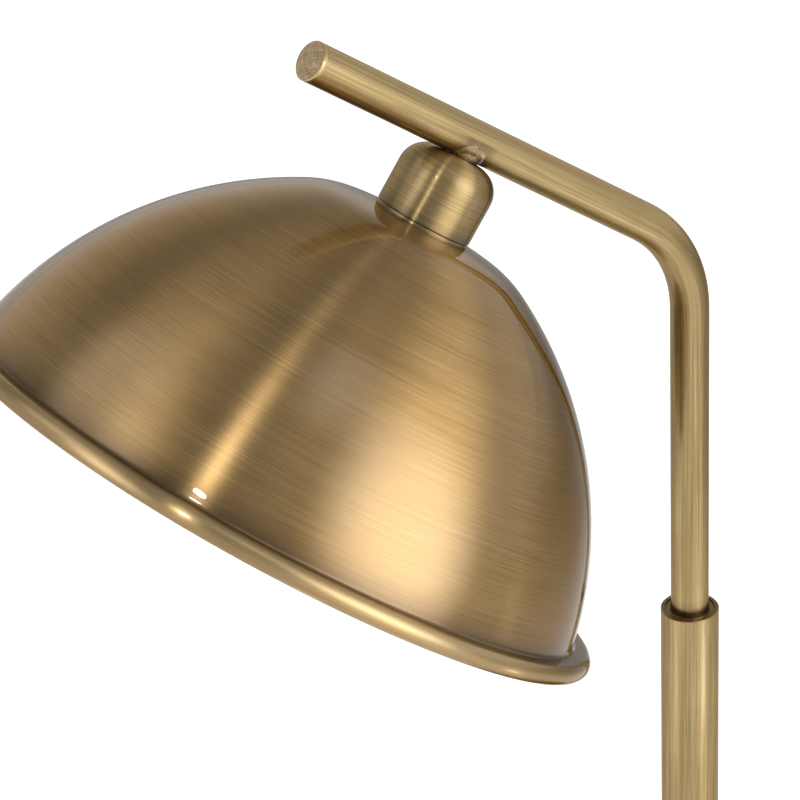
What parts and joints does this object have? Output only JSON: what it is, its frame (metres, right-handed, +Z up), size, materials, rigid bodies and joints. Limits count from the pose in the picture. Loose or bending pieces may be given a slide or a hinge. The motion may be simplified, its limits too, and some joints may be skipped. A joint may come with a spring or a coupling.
{
  "type": "desk lamp",
  "caption": "Desk lamp with a dome shade hung on a short neck from a bent swivelling tube, on a straight stem and a round weighted base.",
  "frame": {"origin": "centre of the base's underside, on the desk", "axes": "+Z up along the stem, -X the way the arm and the shade reach, -Y the front with the push button, +Y the back with the cord inlet"},
  "size_m": [0.3511, 0.227, 0.4984],
  "materials": {
    "antique_brass": "brushed antique brass under gloss lacquer",
    "plain_brass": "turned",
    "fastener_steel": "zinc plated",
    "plate_steel": "black powder coat",
    "weight_iron": "as cast",
    "pad_rubber": "matte",
    "inlet_rubber": "matte",
    "nylon": "matte",
    "white_enamel": "matte white enamel",
    "sink_aluminium": "satin",
    "board_white": "white solder mask on an aluminium core",
    "phosphor": "matte",
    "opal_plastic": "opal satin",
    "wire_sheath": "matte",
    "driver_plastic": "fine texture",
    "terminal_plastic": "matte"
  },
  "bodies": {
    "stand": {"base_pad": "pad_rubber", "base_plate": "plate_steel", "base_screws": "fastener_steel", "base_weight": "weight_iron", "base_cover": "antique_brass", "stem_flange": "antique_brass", "stem_plug": "plain_brass", "stem_nipple": "plain_brass", "stem_washer": "fastener_steel", "stem_nut": "fastener_steel", "stem_tube": "antique_brass", "top_bush": "plain_brass", "lower_bush": "plain_brass", "thrust_washer": "nylon", "stop_screw": "fastener_steel", "supply_wires": "wire_sheath", "switch_wires": "wire_sheath", "input_wires": "wire_sheath", "driver": "driver_plastic", "terminal_block": "terminal_plastic", "cord_inlet": "inlet_rubber", "switch_bezel": "plain_brass", "switch_body": "terminal_plastic", "switch_spring": "fastener_steel"},
    "button": {"push_button": "antique_brass"},
    "arm": {"arm_journal": "plain_brass", "arm_tube": "antique_brass", "arm_end_plug": "antique_brass", "neck": "plain_brass", "cap": "antique_brass", "cap_ring": "antique_brass", "shade": "antique_brass", "inner_reflector": "white_enamel", "crown_washer": "nylon", "spacer": "plain_brass", "heat_sink": "sink_aluminium", "lock_washer": "fastener_steel", "lock_nut": "fastener_steel", "led_board": "board_white", "board_screws": "fastener_steel", "led_chips": "phosphor", "diffuser": "opal_plastic", "diffuser_ring": "white_enamel", "lamp_wires": "wire_sheath"}
  },
  "joints": [
    {"name": "arm_swivel", "type": "hinge", "parent": "stand", "child": "arm", "pos_m": [0, 0, 0.16], "axis": [0, 0, 1], "range_deg": [-150, 150]},
    {"name": "button_press", "type": "slide", "parent": "stand", "child": "button", "axis": [0, 0, -1], "range_m": [0, 0.0015], "stiffness_N_per_m": 800, "springref_m": -0.001, "deforming": ["switch_spring"]}
  ]
}
